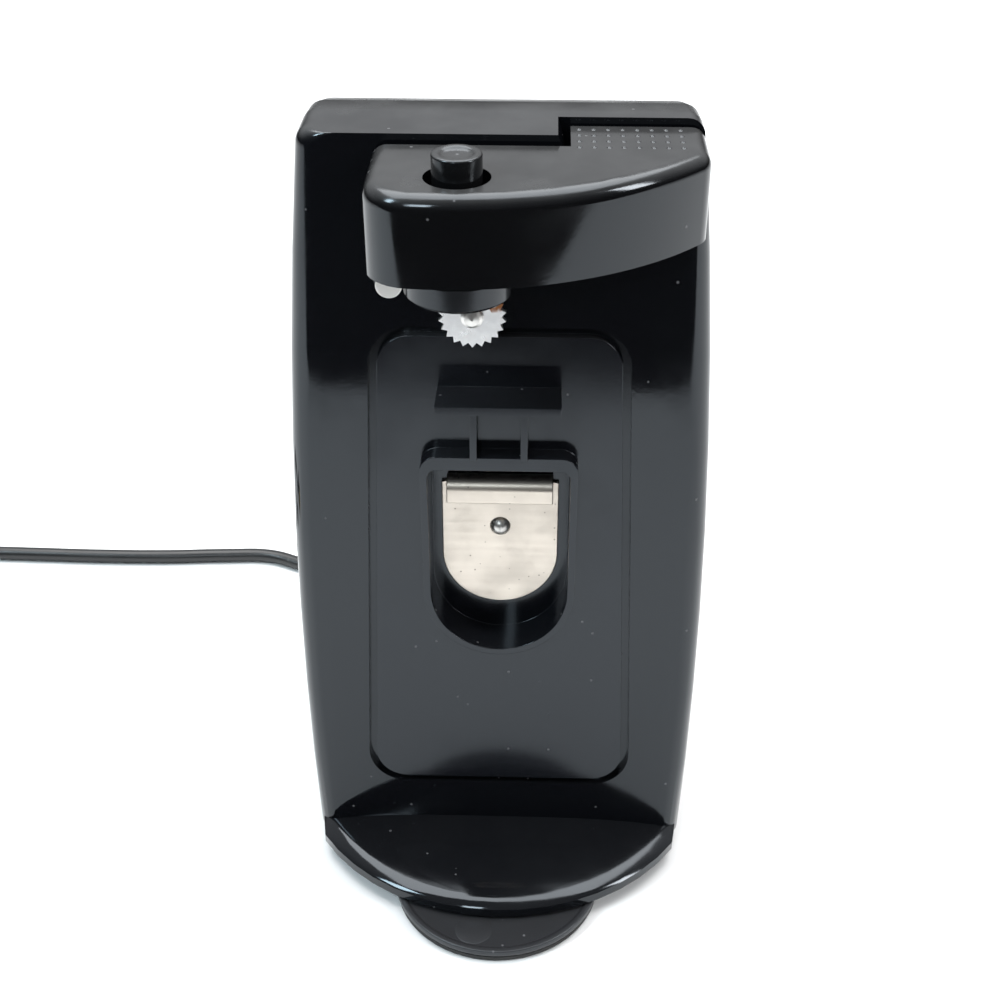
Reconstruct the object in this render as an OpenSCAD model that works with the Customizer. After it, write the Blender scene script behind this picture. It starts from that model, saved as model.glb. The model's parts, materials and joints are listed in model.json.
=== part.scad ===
// Electric can opener, upright, black plastic housing with a hand lever across the top.
// +Z is up, +X is to the user's right, -Y is the front. The origin is on the table, under the housing.

/* [Housing] */
// Height of the housing above the table
body_h = 228; // [190:1:290]
// Greatest width of the housing
body_w = 117.4; // [96:0.2:145]
// Height at which the housing is widest
widest_z = 80; // [60:1:100]
// Radius of the long curve of each side, seen from the front
side_r = 1385; // [1100:5:3000]
// Wall of the plastic shells
wall = 2.4; // [2:0.02:3]
// Radius of the upright front corners
corner_r = 7; // [4:0.5:8]
// Radius of the two top corners, seen from the front
top_r = 4.5; // [3.5:0.5:8]
// Place of the seam between the two shells, behind the origin
seam_y = 17; // [15:0.5:20]
// Back of the rear cover, behind the origin
back_y = 64; // [60:0.5:80]
// How far the rear cover draws in on each side at its back
back_inset = 14; // [8:0.5:16]
// How far the rear cover's top falls towards its back
back_drop = 26; // [10:1:30]
// Front face at the top of the housing
face_top_y = -1; // [-3:0.5:1]
// Forward slope of the front face, per millimetre down
face_slope = 0.06; // [0.04:0.005:0.07]
// Height of the shells' lower edge above the table
shell_z = 5; // [5:0.1:7]

/* [Apron and foot] */
// Reach of the apron in front of the housing
apron_reach = 34; // [28:0.5:40]
// Height of the apron's crest above the shell's lower edge
apron_h = 7.2; // [6:0.1:12]
// Height of the apron's front edge above the shell's lower edge
apron_edge = 2.8; // [2.6:0.1:5]
// Radius of the round stabiliser foot
foot_r = 31.3; // [26:0.1:38]
// Centre of the foot, in front of the origin
foot_y = -29.7; // [-34:0.1:-26]
// Thickness of the foot's plate
foot_t = 2.8; // [2:0.2:3]
// Thickness of the rubber under the foot
foot_pad_t = 1.6; // [1:0.2:1.8]
// Radius of the rear rubber feet
rear_foot_r = 6; // [4:0.5:8]

/* [Front panel] */
// Top of the panel below the top of the housing
panel_drop = 52.7; // [50:0.1:58]
// Bottom of the panel above the table
panel_low_z = 28.3; // [26:0.1:34]
// Width of the panel at its top
panel_top_w = 65; // [60:0.2:68]
// Width of the panel at its bottom
panel_low_w = 74.4; // [70:0.2:76]
// Corner radius of the panel
panel_r = 9; // [6:0.5:12]
// Width of the groove round the panel
groove = 2.4; // [1:0.1:2.5]
// Flange of the panel behind the housing's wall
flange = 3; // [2.5:0.1:3.5]

/* [Can guide] */
// Width of the can guide
guide_w = 33; // [28:0.2:40]
// Reach of the can guide in front of the panel
guide_reach = 13; // [8:0.5:15]
// Thickness of the can guide's shelf
guide_h = 2.4; // [2:0.1:4]
// Top of the can guide below the top of the housing
guide_drop = 67.1; // [64:0.1:72]
// Distance between the two ribs under the can guide
rib_gap = 13.6; // [10:0.2:18]
// Thickness of each rib
rib_t = 1.9; // [1.4:0.1:2.4]

/* [Bottle opener] */
// Inner width of the opener's recess
recess_w = 39; // [34:0.5:42]
// Ceiling of the recess below the top of the housing
recess_drop = 89.5; // [86:0.5:94]
// Height of the recess, ceiling to lowest point
recess_h = 61.5; // [56:0.5:66]
// Depth of the recess behind the panel's face
recess_d = 11.2; // [9:0.2:12]
// Radius of the recess's two top corners
recess_corner = 2.6; // [2:0.1:4]
// Thickness of the rim round the recess
rim_t = 2; // [1.6:0.1:2.6]
// Thickness of the hood over the recess
hood_t = 4; // [3.5:0.5:7]
// Reach of the hood in front of the panel
hood_reach = 6; // [4:0.5:9]
// Width of the steel opener plate
plate_w = 33.2; // [28:0.2:33.4]
// Height of the steel opener plate
plate_h = 40; // [34:0.5:42]
// Thickness of the steel opener plate
plate_t = 1.2; // [1:0.1:1.6]
// Radius of the opener's rolled lip
lip_r = 3.6; // [3:0.1:4]
// How far the lip's front leg hangs down
lip_drop = 3.8; // [2:0.1:5]
// Radius of the opener's rivet
rivet_r = 3.1; // [2.4:0.1:3.6]

/* [Hand lever] */
// Top of the lever below the top of the housing
lever_drop = 2; // [1:0.5:3]
// Height of the lever's block
lever_h = 22.5; // [20:0.5:25]
// Front of the lever
lever_front = -37.5; // [-38:0.1:-36]
// Where the lever's bow would meet its right side
lever_end_y = -7; // [-9:0.1:-5]
// Middle of the lever's bow, left of the origin
lever_x = -12.3; // [-13:0.1:-11]
// Left side of the lever
lever_left = -31.4; // [-34:0.2:-31]
// Right side of the lever beyond the housing's side
lever_over = 0.4; // [0:0.1:1]
// Radius of the lever's left front corner
lever_corner = 12; // [9:0.5:14]
// Radius of the lever's right front corner
lever_end_r = 8; // [6:0.5:10]
// Wall of the lever
lever_wall = 2.6; // [2:0.1:3]
// Rounding of the lever's top edge
lever_round = 4; // [3:0.5:5]
// Thickness of the thumb pad
pad_t = 8; // [6:0.5:9]
// Back edge of the thumb pad
pad_back = 11.5; // [10:0.5:12]
// Distance from the lever's pivot to the pad's left edge
pad_r = 43.3; // [42:0.1:46]
// Gap between the thumb pad and the housing
pad_gap = 2.3; // [1:0.1:3]
// Pivot of the lever, left of the origin
pivot_x = -24; // [-25:0.5:-22]
// Pivot of the lever below the lever's top
pivot_drop = 13; // [12:0.5:14]
// Radius of the pivot pin
pivot_r = 3; // [2:0.1:3.4]

/* [Cutter and feed] */
// Feed shaft, left of the origin
feed_x = -6.4; // [-8:0.2:-4]
// Feed shaft below the top of the housing
feed_drop = 41; // [40:0.5:43]
// Tip radius of the feed wheel
feed_r = 8.6; // [7.5:0.1:8.8]
// Number of teeth on the feed wheel
feed_teeth = 22; // [16:1:28]
// Thickness of the feed wheel
feed_t = 1.5; // [1:0.1:1.6]
// Front face of the feed wheel
feed_front = -17.5; // [-18:0.1:-16]
// Radius of the feed shaft
feed_shaft_r = 4; // [3:0.1:4.4]
// Radius of the cutting wheel
cutter_r = 8; // [7:0.1:8.4]
// Thickness of the cutting wheel
cutter_t = 1.2; // [0.8:0.1:1.4]
// Gap between the cutting wheel and the feed wheel, front to back
cutter_gap = 0.8; // [0.4:0.1:1]
// How far the cutting wheel reaches below the feed wheel's top
cutter_bite = 1; // [0.4:0.1:2]
// Radius of the cutter cartridge
cartridge_r = 13.3; // [11:0.1:14]
// Centre of the cartridge and release button, left of the origin
cartridge_x = -9.2; // [-10:0.1:-8]
// Centre of the cartridge and release button, in front of the origin
cartridge_y = -24.3; // [-25:0.1:-23]
// Radius of the release button
button_r = 6; // [4.8:0.1:6.2]
// Radius of the hole that the release button sits in
button_hole_r = 8; // [7.4:0.1:9]
// Height of the release button above the lever
button_up = 6; // [4:0.5:8]
// Travel of the release button
button_travel = 3; // [2:0.5:4]
// Radius of the lid magnet
magnet_r = 3.3; // [2.6:0.1:4]
// Lid magnet, left of the origin
magnet_x = -26.6; // [-27:0.1:-26]

/* [Drive] */
// Teeth on each pinion
pinion_teeth = 14; // [12:1:14]
// Teeth on the wheel that the rotor drives
wheel1_teeth = 70; // [60:1:70]
// Module of the first gear pair
module1 = 0.6; // [0.5:0.02:0.62]
// Teeth on the middle wheel
wheel2_teeth = 56; // [48:1:58]
// Module of the second gear pair
module2 = 0.8; // [0.7:0.02:0.82]
// Teeth on the wheel of the feed shaft
wheel3_teeth = 48; // [44:1:50]
// Module of the last gear pair
module3 = 1; // [0.9:0.02:1.04]
// Free play between meshing teeth, at the pitch circle
backlash = 0.16; // [0.1:0.02:0.3]
// Radius of the motor's rotor
rotor_r = 13.6; // [12:0.1:14]
// Air gap round the rotor
air_gap = 0.5; // [0.4:0.05:0.7]
// Length of the motor's steel core
core_t = 16; // [12:0.5:17]
// Width of the motor's steel core
core_w = 60; // [58:0.5:66]
// Radius of the motor shaft
motor_shaft_r = 2; // [1.5:0.1:2.2]
// Thickness of the steel chassis plate
chassis_t = 1.6; // [1.2:0.1:2]

/* [Cord] */
// Diameter of the mains cord
cord_d = 5.2; // [4.6:0.1:5.6]
// Height of the cord's exit above the table
cord_exit_z = 18; // [15:0.5:24]
// Length of the strain relief behind the cover
relief_l = 30; // [20:1:36]

/* [Fits] */
// Radial running fit of shafts in their bores
fit = 0.05; // [0.02:0.01:0.09]
// Gap between pieces that don't touch
gap = 0.4; // [0.3:0.05:0.5]

/* [Hidden] */
$fn = 64;
sliver = 0.02;
far = 400;
steps = 8;
deg = 180 / PI;

// Outline of the housing, from the front and from the side
function half_w(z) = body_w / 2 - pow(z - widest_z, 2) / (2 * side_r);
function face_y(z) = face_top_y - face_slope * (body_h - z);
function rise(from, to, i, n) = from + (to - from) * i / n;

// Heights and places that follow from the driving sizes
top_z = body_h - top_r;
lean = atan(face_slope);
lever_top = body_h - lever_drop;
lever_low = lever_top - lever_h;
lever_back = face_y(lever_low) - gap - 0.3;
lever_right = half_w(lever_top) + lever_over;
bow_w = lever_right - lever_x;
bow_d = lever_end_y - lever_front;
lever_r = (bow_w * bow_w + bow_d * bow_d) / (2 * bow_d);
lever_y = lever_front + lever_r;
pivot_z = lever_top - pivot_drop;
pad_low = lever_top - pad_t;
cut_floor = pad_low - 3;
cut_back = pad_back + 1;
cut_r = pad_r - pad_gap;
feed_z = body_h - feed_drop;
feed_back = feed_front + feed_t;
feed_top = feed_z + feed_r;
cutter_z = feed_top - cutter_bite + cutter_r;
cutter_back = feed_front - cutter_gap;
cutter_front = cutter_back - cutter_t;
axle_r = 1.8;
axle_front = cutter_front - 1.9;
axle_back = cartridge_y + 12;
cartridge_low = feed_top + 1.4;
cartridge_top = lever_low - gap;
cheek_r = 9.4;
cheek_top = cutter_z + axle_r + 2.4;
collar_low = cutter_z + cutter_r + 0.6;
neck_top = collar_low + 1.8;
button_low = lever_top - 11;
spring_low = button_low - 5.6;
panel_top = body_h - panel_drop;
guide_top = body_h - guide_drop;
recess_top = body_h - recess_drop;
recess_low = recess_top - recess_h;
recess_r = recess_w / 2;
recess_mid = recess_low + recess_r;
plate_top = recess_top - 12;
plate_low = plate_top - plate_h;
rivet_z = plate_top - 14.4;
panel_t = wall + 0.2;
rim_out = recess_r + rim_t;
apron_y = -14.3;
apron_back = -6;
apron_corner = 5;
apron_taper = 2.2;
apron_w = half_w(shell_z + apron_edge) - 2.6;
foot_z = foot_pad_t;
foot_top = foot_z + foot_t;
base_t = 2.4;
base_z = shell_z + 0.2;
base_inset = 12;
post_r = 4;
screw_r = 1.5;

// Front to back, behind the panel's recess
chassis_y = face_y(recess_top) + recess_d + wall + 2.5;
chassis_back = chassis_y + chassis_t;
wheel3_y = chassis_back + 0.5;
wheel3_t = 5;
wheel2_y = wheel3_y + wheel3_t + 0.5;
wheel2_t = 3.5;
wheel1_y = wheel2_y + wheel2_t + 0.5;
wheel1_t = 3;
pin_end = wheel1_y + wheel1_t + 1.2;
core_y = pin_end + 7.5;
core_back = core_y + core_t;
bracket_gap = 3.5;
bracket_t = 1.5;
bush_t = 4.5;
bush_front = core_y - bracket_gap - bracket_t - 1.5;
bush_rear = core_back + bracket_gap - 1.5;
fan_y = bush_rear + bush_t + 0.7;
fan_t = 3.6;

// Gear centres, from the feed shaft down to the rotor
mesh3 = module3 * (pinion_teeth + wheel3_teeth) / 2;
mesh2 = module2 * (pinion_teeth + wheel2_teeth) / 2;
mesh1 = module1 * (pinion_teeth + wheel1_teeth) / 2;
middle_x = feed_x + 14;
middle_z = feed_z - sqrt(mesh3 * mesh3 - pow(middle_x - feed_x, 2));
first_x = middle_x - 12;
first_z = middle_z - sqrt(mesh2 * mesh2 - pow(middle_x - first_x, 2));
rotor_x = 0;
rotor_z = first_z - sqrt(mesh1 * mesh1 - pow(rotor_x - first_x, 2));
core_low = rotor_z - 48;
core_top = rotor_z + 22;
limb_top = core_low + 15;
window_top = core_low + 29;
core_window = 18;
coil_w = 31;
mount_x = core_w / 2 - 5;
mount_low = core_low + 8;
mount_top = rotor_z + 10;

// Screw places
chassis_posts = [[-38, feed_z + 1], [38, feed_z + 1], [-47, core_low + 17], [47, core_low + 17]];
cover_posts = [[-36.5, lever_low + 2.5], [36.5, lever_low + 2.5], [-36.5, 17], [36.5, 17]];
switch_x = 24;
switch_y = 4.8;
switch_w = 15;
switch_low = lever_low - 8;
switch_top = lever_low + 3;

// Cord route on the table, coil and tail
cord_r = cord_d / 2;
exit_x = -22;
cord_in = back_y - 8;
coil_at = [-250, 107];
coil_in = 4.5 * cord_d;
coil_out = 6.5 * cord_d;
coil_h = 1.87 * cord_d;
relief_end = back_y + relief_l;
lead_y = relief_end + 2;
route = [
    [exit_x, cord_in, cord_exit_z], [exit_x, 76, cord_exit_z], [exit_x, lead_y, cord_exit_z - 0.2],
    [-25, 108, 14], [-33, 118.5, 8.6], [-46, 126, 4.8], [-62, 129, 3], [-79, 131.5, cord_r],
    [-97, 138.5, cord_r], [-115, 138.5, cord_r], [-138, 137, cord_r], [-165, 136.5, cord_r],
    [-192, 137, cord_r], [-220, 137.5, cord_r], [-250, 138, cord_r]
];
tail = [
    [-278, 107, 7.2], [-278, 99, 7.8], [-278, 89, 7.6], [-278, 79, 5.4], [-278.5, 69, 3.4],
    [-279, 60, cord_r], [-279, 52, cord_r]
];
plug_at = [-279, 52];
plug_l = 30;
plug_w = 22;
plug_z = 12;

// ---- helpers ----

// One thin slice of the housing at height z, from the face back to y_end
module body_slice(z, half, inset, y_end) {
    r = corner_r - inset;
    translate([0, 0, z]) {
        for (side = [-1, 1]) {
            translate([side * (half - r), face_y(z) + inset + r, 0])
                cylinder(r = r, h = sliver, $fn = 32);
            translate([side * (half - sliver / 2) - sliver / 2, y_end - sliver, 0])
                cube(sliver);
        }
    }
}

// The housing's convex form, drawn in by inset, from z_low up and back to y_end
module housing_form(inset, z_low, y_end) {
    r = top_r - inset;
    intersection() {
        hull() {
            for (i = [0 : steps]) {
                z = rise(z_low, top_z, i, steps);
                body_slice(z, half_w(z) - inset, inset, y_end);
            }
            for (a = [0 : 15 : 90])
                body_slice(
                    top_z + r * sin(a) - sliver, half_w(top_z) - inset - r * (1 - cos(a)), inset, y_end
                );
        }
        block([-far, -far, 0], [far, y_end, far]);
    }
}

// Arc of the apron's front edge, a shallow bow between two corners
function apron_plan(inset) = let(
    half = apron_w - inset,
    bow = apron_reach - apron_corner - inset,
    r = (half * half + bow * bow) / (2 * bow),
    side = asin(half / r)
) concat(
    [[-half - apron_taper, apron_back]],
    [for (i = [-8 : 8]) [r * sin(side * i / 8), apron_y - apron_corner - bow + r - r * cos(side * i / 8)]],
    [[half + apron_taper, apron_back]]
);

// The apron, a low dome in front of the housing that falls to its rim like a quarter of an oval
module apron_form(inset, z_low) {
    edge = shell_z + apron_edge - inset;
    hull() {
        translate([0, 0, z_low]) linear_extrude(edge - z_low) polygon(apron_plan(inset));
        for (a = [15 : 15 : 90])
            translate([0, 0, edge + (apron_h - apron_edge) * sin(a) - sliver]) linear_extrude(sliver)
                translate([0, apron_back]) scale([0.25 + 0.75 * cos(a), 0.35 + 0.65 * cos(a)])
                    translate([0, -apron_back]) polygon(apron_plan(inset));
    }
}

// Front-view outline of the rear cover, drawn in at the sides and the top
function cover_outline(inset, drop) = let(
    r = top_r,
    high = body_h - drop - r,
    half = half_w(high) - inset - r,
    sides = [for (i = [0 : steps]) rise(shell_z, high, i, steps)],
    right = [for (z = sides) [half_w(z) - inset, z]],
    round = [for (a = [15 : 15 : 90]) [half + r * cos(a), high + r * sin(a)]],
    one = concat(right, round)
) concat(one, [for (i = [len(one) - 1 : -1 : 0]) [-one[i][0], one[i][1]]]);

module cover_slab(y, inset, drop) {
    translate([0, y, 0]) rotate([90, 0, 0]) linear_extrude(sliver) polygon(cover_outline(inset, drop));
}

// The rear cover's convex form, drawn in by inset all round
module cover_form(inset, y_start) {
    hull() {
        cover_slab(y_start + sliver, inset, inset);
        cover_slab(seam_y + 8 - inset, 0.4 + inset, 0.4 + inset);
        cover_slab(seam_y + 18 - inset, 1.4 + inset, 3 + inset);
        cover_slab(seam_y + 28 - inset, 3.6 + inset, 8 + inset);
        cover_slab(back_y - 7 - inset, back_inset * 0.6 + inset, back_drop * 0.66 + inset);
        cover_slab(back_y - inset, back_inset + inset, back_drop + inset);
    }
}

// A cylinder along Y, from y0 to y1
module bar(x, z, y0, y1, r) {
    translate([x, y1, z]) rotate([90, 0, 0]) cylinder(r = r, h = y1 - y0);
}

// A box between two corners
module block(low, high) {
    translate(low) cube(high - low);
}

// Puts what is drawn in front of the plane Y = 0 onto the leaning front face
module on_face() {
    translate([0, face_y(0), 0]) rotate([-lean, 0, 0]) children();
}

// A flat shape in X and Z, drawn as thick as y1 - y0
module plate_y(y0, y1) {
    translate([0, y1, 0]) rotate([90, 0, 0]) linear_extrude(y1 - y0) children();
}

// The panel's outline grown by margin, wider at the bottom than at the top
module panel_shape(margin) {
    top_x = panel_top_w / 2 - panel_r;
    low_x = panel_low_w / 2 - panel_r;
    offset(r = panel_r + margin, $fn = 48) polygon([
        [-low_x, panel_low_z + panel_r], [low_x, panel_low_z + panel_r],
        [top_x, panel_top - panel_r], [-top_x, panel_top - panel_r]
    ]);
}

// The U shape of the bottle opener, grown by margin, with a flat top and rounded corners
module opener_shape(margin, top_margin) {
    r = recess_r + margin;
    top = recess_top + top_margin;
    corner = recess_corner + margin;
    translate([0, recess_mid]) circle(r = r);
    translate([-r, recess_mid]) square([2 * r, top - corner - recess_mid]);
    translate([corner - r, recess_mid]) square([2 * (r - corner), top - recess_mid]);
    for (side = [-1, 1]) translate([side * (r - corner), top - corner]) circle(r = corner);
}

// Involute gear tooth shape: stub teeth, 20 degrees
function involute(base, r) = let(t = sqrt(max(0, r * r / (base * base) - 1))) t * deg - atan(t);

function gear_outline(m, teeth) = let(
    pitch = m * teeth / 2,
    base = pitch * cos(20),
    root = pitch - m,
    tip = pitch + 0.75 * m,
    half = 90 / teeth - backlash / 2 / (2 * pitch) * deg + involute(base, pitch),
    low = max(base, root),
    rows = [for (i = [0 : 4]) rise(low, tip, i, 4)]
) [
    for (k = [0 : teeth - 1]) each concat(
        [polar(root, k * 360 / teeth - half)],
        [for (r = rows) polar(r, k * 360 / teeth - half + involute(base, r))],
        [for (i = [4 : -1 : 0]) polar(rows[i], k * 360 / teeth + half - involute(base, rows[i]))],
        [polar(root, k * 360 / teeth + half)]
    )
];

function polar(r, a) = [r * cos(a), r * sin(a)];

// A spur gear on an axis along Y, turned so that its first tooth is at angle turn
module spur(x, z, y0, y1, m, teeth, turn, bore) {
    translate([x, 0, z]) plate_y(y0, y1) difference() {
        rotate(turn) polygon(gear_outline(m, teeth));
        circle(r = bore);
    }
}

// Angle in the X-Z plane from one centre to another
function heading(x0, z0, x1, z1) = atan2(z1 - z0, x1 - x0);

// A tube swept along points
function unit(v) = v / norm(v);
function blend(p, i, t) = let(
    a = p[max(i - 1, 0)],
    b = p[i],
    c = p[i + 1],
    d = p[min(i + 2, len(p) - 1)]
) (2 * b + (c - a) * t + (2 * a - 5 * b + 4 * c - d) * t * t + (3 * b - a - 3 * c + d) * t * t * t) / 2;
function smooth_path(p, n) = concat(
    [for (i = [0 : len(p) - 2], k = [0 : n - 1]) blend(p, i, k / n)],
    [p[len(p) - 1]]
);

module tube(path, r, sides) {
    last = len(path) - 1;
    rings = [
        for (i = [0 : last]) let(
            t = unit(path[min(i + 1, last)] - path[max(i - 1, 0)]),
            u = unit(cross(t, [0, 0, 1])),
            v = cross(u, t)
        ) [for (k = [0 : sides - 1]) path[i] + r * (cos(k * 360 / sides) * u + sin(k * 360 / sides) * v)]
    ];
    polyhedron(
        points = [for (ring = rings) each ring],
        faces = concat(
            [[for (k = [0 : sides - 1]) k]],
            [for (i = [0 : last - 1], k = [0 : sides - 1]) [
                i * sides + k, (i + 1) * sides + k,
                (i + 1) * sides + (k + 1) % sides, i * sides + (k + 1) % sides
            ]],
            [[for (k = [sides - 1 : -1 : 0]) last * sides + k]]
        )
    );
}

// ---- housing ----

// The space that the thumb pad moves in, grown by margin
module pad_space(margin) {
    difference() {
        block([pivot_x, -far, cut_floor - margin], [far, cut_back + margin, far]);
        bar(pivot_x, pivot_z, -far, far, cut_r - margin);
    }
}

module front_housing() {
    color("#15161a") difference() {
        union() {
            difference() {
                union() {
                    housing_form(0, shell_z, seam_y);
                    apron_form(0, shell_z);
                }
                housing_form(wall, shell_z - 1, seam_y + 1);
                apron_form(wall, shell_z - 1);
            }
            intersection() {
                housing_form(0, shell_z, seam_y);
                pad_space(wall);
            }
            for (p = chassis_posts) bar(p[0], p[1], face_y(p[1]) + 1.8, chassis_y, post_r - 0.5);
            for (p = cover_posts) bar(p[0], p[1], face_y(p[1]) + 1.8, seam_y, post_r);
        }
        pad_space(0);
        on_face() plate_y(-5, wall + 0.6) panel_shape(groove);
        bar(pivot_x, pivot_z, -far, chassis_y, pivot_r + gap);
        bar(feed_x, feed_z, -far, chassis_y, feed_shaft_r + 3 + gap);
        translate([switch_x, switch_y, cut_floor - far / 2]) cylinder(r = 2 + gap, h = far);
        for (p = chassis_posts) bar(p[0], p[1], chassis_y - 8, far, screw_r + fit);
        for (p = cover_posts) bar(p[0], p[1], seam_y - 10, far, screw_r + fit);
    }
}

module rear_cover() {
    color("#17181b") difference() {
        union() {
            difference() {
                cover_form(0, seam_y);
                cover_form(wall, seam_y - 1);
                block([-far, seam_y - 2, -far], [far, back_y - wall, shell_z + 0.1]);
            }
            intersection() {
                cover_form(0, seam_y);
                for (p = cover_posts) bar(p[0], p[1], seam_y, back_y, post_r + 1.4);
            }
        }
        for (p = cover_posts) {
            bar(p[0], p[1], -far, far, screw_r + gap);
            bar(p[0], p[1], seam_y + 4, far, post_r - 0.6);
        }
        bar(exit_x, cord_exit_z, 0, far, cord_r + 2.4);
        for (x = [-24 : 6 : 24]) block([x - 1, back_y - 12, rotor_z - 16], [x + 1, far, rotor_z + 16]);
    }
}

// Panel insert, with the can guide, its two ribs, the bottle opener's recess, rim and hood
module front_panel() {
    color("#1b1c21") on_face() difference() {
        union() {
            plate_y(-0.4, panel_t) panel_shape(0);
            plate_y(wall + fit, wall + 2) panel_shape(groove + flange);
            plate_y(0, recess_d + wall) opener_shape(rim_t, rim_t);
            intersection() {
                plate_y(-hood_reach, 1) opener_shape(rim_t, hood_t);
                rotate([90, 0, 90]) linear_extrude(far, center = true) polygon([
                    [1, recess_low - 4], [-1.2, recess_low - 4], [-1.6, recess_mid],
                    [-hood_reach, recess_top - 4], [-hood_reach, recess_top + 9], [1, recess_top + 9]
                ]);
            }
            block([-guide_w / 2, -guide_reach, guide_top - guide_h], [guide_w / 2, 1, guide_top]);
            for (side = [-1, 1])
                block(
                    [side * rib_gap / 2 - rib_t / 2, -hood_reach - 0.4, recess_top + hood_t - 1],
                    [side * rib_gap / 2 + rib_t / 2, 1, guide_top - guide_h + 1]
                );
        }
        plate_y(-far, recess_d) opener_shape(0, 0);
    }
}

module opener_plate() {
    r = plate_w / 2;
    lip_half = r - 1.7;
    color("#cfc6b8") on_face() {
        difference() {
            union() {
                plate_y(recess_d - plate_t, recess_d) {
                    translate([0, plate_low + r]) circle(r = r);
                    translate([-r, plate_low + r]) square([plate_w, plate_top - plate_low - r]);
                }
                difference() {
                    translate([0, recess_d - lip_r, plate_top]) rotate([0, 90, 0])
                        cylinder(r = lip_r, h = 2 * lip_half, center = true);
                    translate([0, recess_d - lip_r, plate_top]) rotate([0, 90, 0])
                        cylinder(r = lip_r - plate_t, h = far, center = true);
                    block([-far, -far, -far], [far, far, plate_top]);
                }
                block(
                    [-lip_half, recess_d - 2 * lip_r, plate_top - lip_drop],
                    [lip_half, recess_d - 2 * lip_r + plate_t, plate_top]
                );
            }
            bar(0, rivet_z, -far, far, rivet_r - 1.2);
        }
    }
}

module opener_rivet() {
    color("#b9b6b0") on_face() translate([0, recess_d, rivet_z]) rotate([90, 0, 0]) rotate_extrude() {
        square([rivet_r - 1.2 - fit, plate_t]);
        intersection() {
            translate([0, plate_t - 1.4]) circle(r = rivet_r + 0.2);
            translate([0, plate_t]) square([rivet_r, rivet_r]);
        }
    }
}

module base_plate() {
    front = apron_plan(base_inset);
    back_half = half_w(shell_z) - back_inset - wall - 2;
    color("#17181b") difference() {
        translate([0, 0, base_z]) linear_extrude(base_t) polygon(concat(
            front,
            [[half_w(shell_z) - wall - gap - 1, 2], [half_w(shell_z) - wall - gap - 1.4, seam_y]],
            [[half_w(shell_z) - 7, seam_y + 26], [back_half, back_y - 9 - wall]],
            [[-back_half, back_y - 9 - wall], [7 - half_w(shell_z), seam_y + 26]],
            [[wall + gap + 1.4 - half_w(shell_z), seam_y], [wall + gap + 1 - half_w(shell_z), 2]]
        ));
        for (x = [-18 : 6 : 18]) block([x - 1, -2, 0], [x + 1, 20, far]);
    }
}

module foot_disc() {
    color("#17181b") translate([0, foot_y, 0]) {
        difference() {
            translate([0, 0, foot_z]) cylinder(r = foot_r, h = foot_t, $fn = 96);
            translate([0, 0, foot_top - 0.6]) cylinder(r = foot_r - 1.6, h = 1, $fn = 96);
            translate([-6.2, -22.5, foot_top - 0.9]) cylinder(r = 5.6, h = 1);
        }
        translate([0, 8, foot_z + 1]) cylinder(r = 14, h = base_z - foot_z - 1);
    }
}

module foot_pad() {
    color("#2a2a2c") translate([0, foot_y, 0]) rotate_extrude($fn = 96)
        translate([foot_r - 5.5, 0]) square([5, foot_pad_t]);
}

module rear_feet() {
    color("#2a2a2c") for (side = [-1, 1])
        translate([side * (half_w(shell_z) - back_inset - 12), back_y - 20, 0])
            cylinder(r = rear_foot_r, h = base_z);
}

// ---- chassis and motor ----

module chassis_plate() {
    color("#8f9399") difference() {
        plate_y(chassis_y, chassis_back) {
            translate([-32, core_low + 3]) square([64, feed_z + 12 - core_low - 3]);
            for (p = chassis_posts) translate(p) circle(r = 6);
            translate([-47, core_low + 11]) square([94, 12]);
            translate([-38, feed_z - 5]) square([76, 12]);
            translate([pivot_x, pivot_z]) circle(r = 7);
            translate([pivot_x - 7, feed_z]) square([14, pivot_z - feed_z]);
            translate([switch_x - switch_w / 2, feed_z]) square([switch_w, switch_top - feed_z]);
        }
        for (p = chassis_posts) bar(p[0], p[1], -far, far, screw_r + gap);
        bar(pivot_x, pivot_z, -far, far, pivot_r + fit);
        bar(feed_x, feed_z, -far, far, feed_shaft_r + 2.5 + fit);
        bar(middle_x, middle_z, -far, far, 2 + fit);
        bar(first_x, first_z, -far, far, 2 + fit);
        for (x = [-mount_x, mount_x], z = [mount_low, mount_top]) bar(x, z, -far, far, screw_r + gap);
    }
}

module pivot_pin() {
    color("#b5b8bc") {
        bar(pivot_x, pivot_z, -22, chassis_back, pivot_r);
        bar(pivot_x, pivot_z, chassis_back, chassis_back + 2, pivot_r + 2);
    }
}

module feed_bushing() {
    color("#b08d57") difference() {
        union() {
            bar(feed_x, feed_z, face_y(feed_z) - 2.4, chassis_back, feed_shaft_r + 2.5);
            bar(feed_x, feed_z, chassis_y - 1.6, chassis_y, feed_shaft_r + 4);
        }
        bar(feed_x, feed_z, -far, far, feed_shaft_r + fit);
    }
}

module gear_pins() {
    color("#b5b8bc") for (p = [[middle_x, middle_z], [first_x, first_z]]) {
        bar(p[0], p[1], chassis_y, pin_end, 2);
        bar(p[0], p[1], chassis_y - 1.5, chassis_y, 3.4);
    }
}

module pin_clips() {
    color("#8f9399") {
        clip(middle_x, middle_z, wheel2_y + wheel2_t + 0.6);
        clip(first_x, first_z, wheel1_y + wheel1_t + 0.3);
    }
}

module clip(x, z, y) {
    difference() {
        bar(x, z, y, y + 0.7, 3.8);
        bar(x, z, y - 1, y + 2, 2 + fit);
        block([x - 1, y - 1, z - 6], [x + 1, y + 2, z]);
    }
}

module motor_core() {
    color("#7d7f84") difference() {
        block([-core_w / 2, core_y, core_low], [core_w / 2, core_back, core_top]);
        bar(rotor_x, rotor_z, -far, far, rotor_r + air_gap);
        block([-core_window, -far, limb_top], [core_window, far, window_top]);
        for (x = [-mount_x, mount_x], z = [mount_low, mount_top]) bar(x, z, -far, far, screw_r + gap);
    }
}

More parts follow.
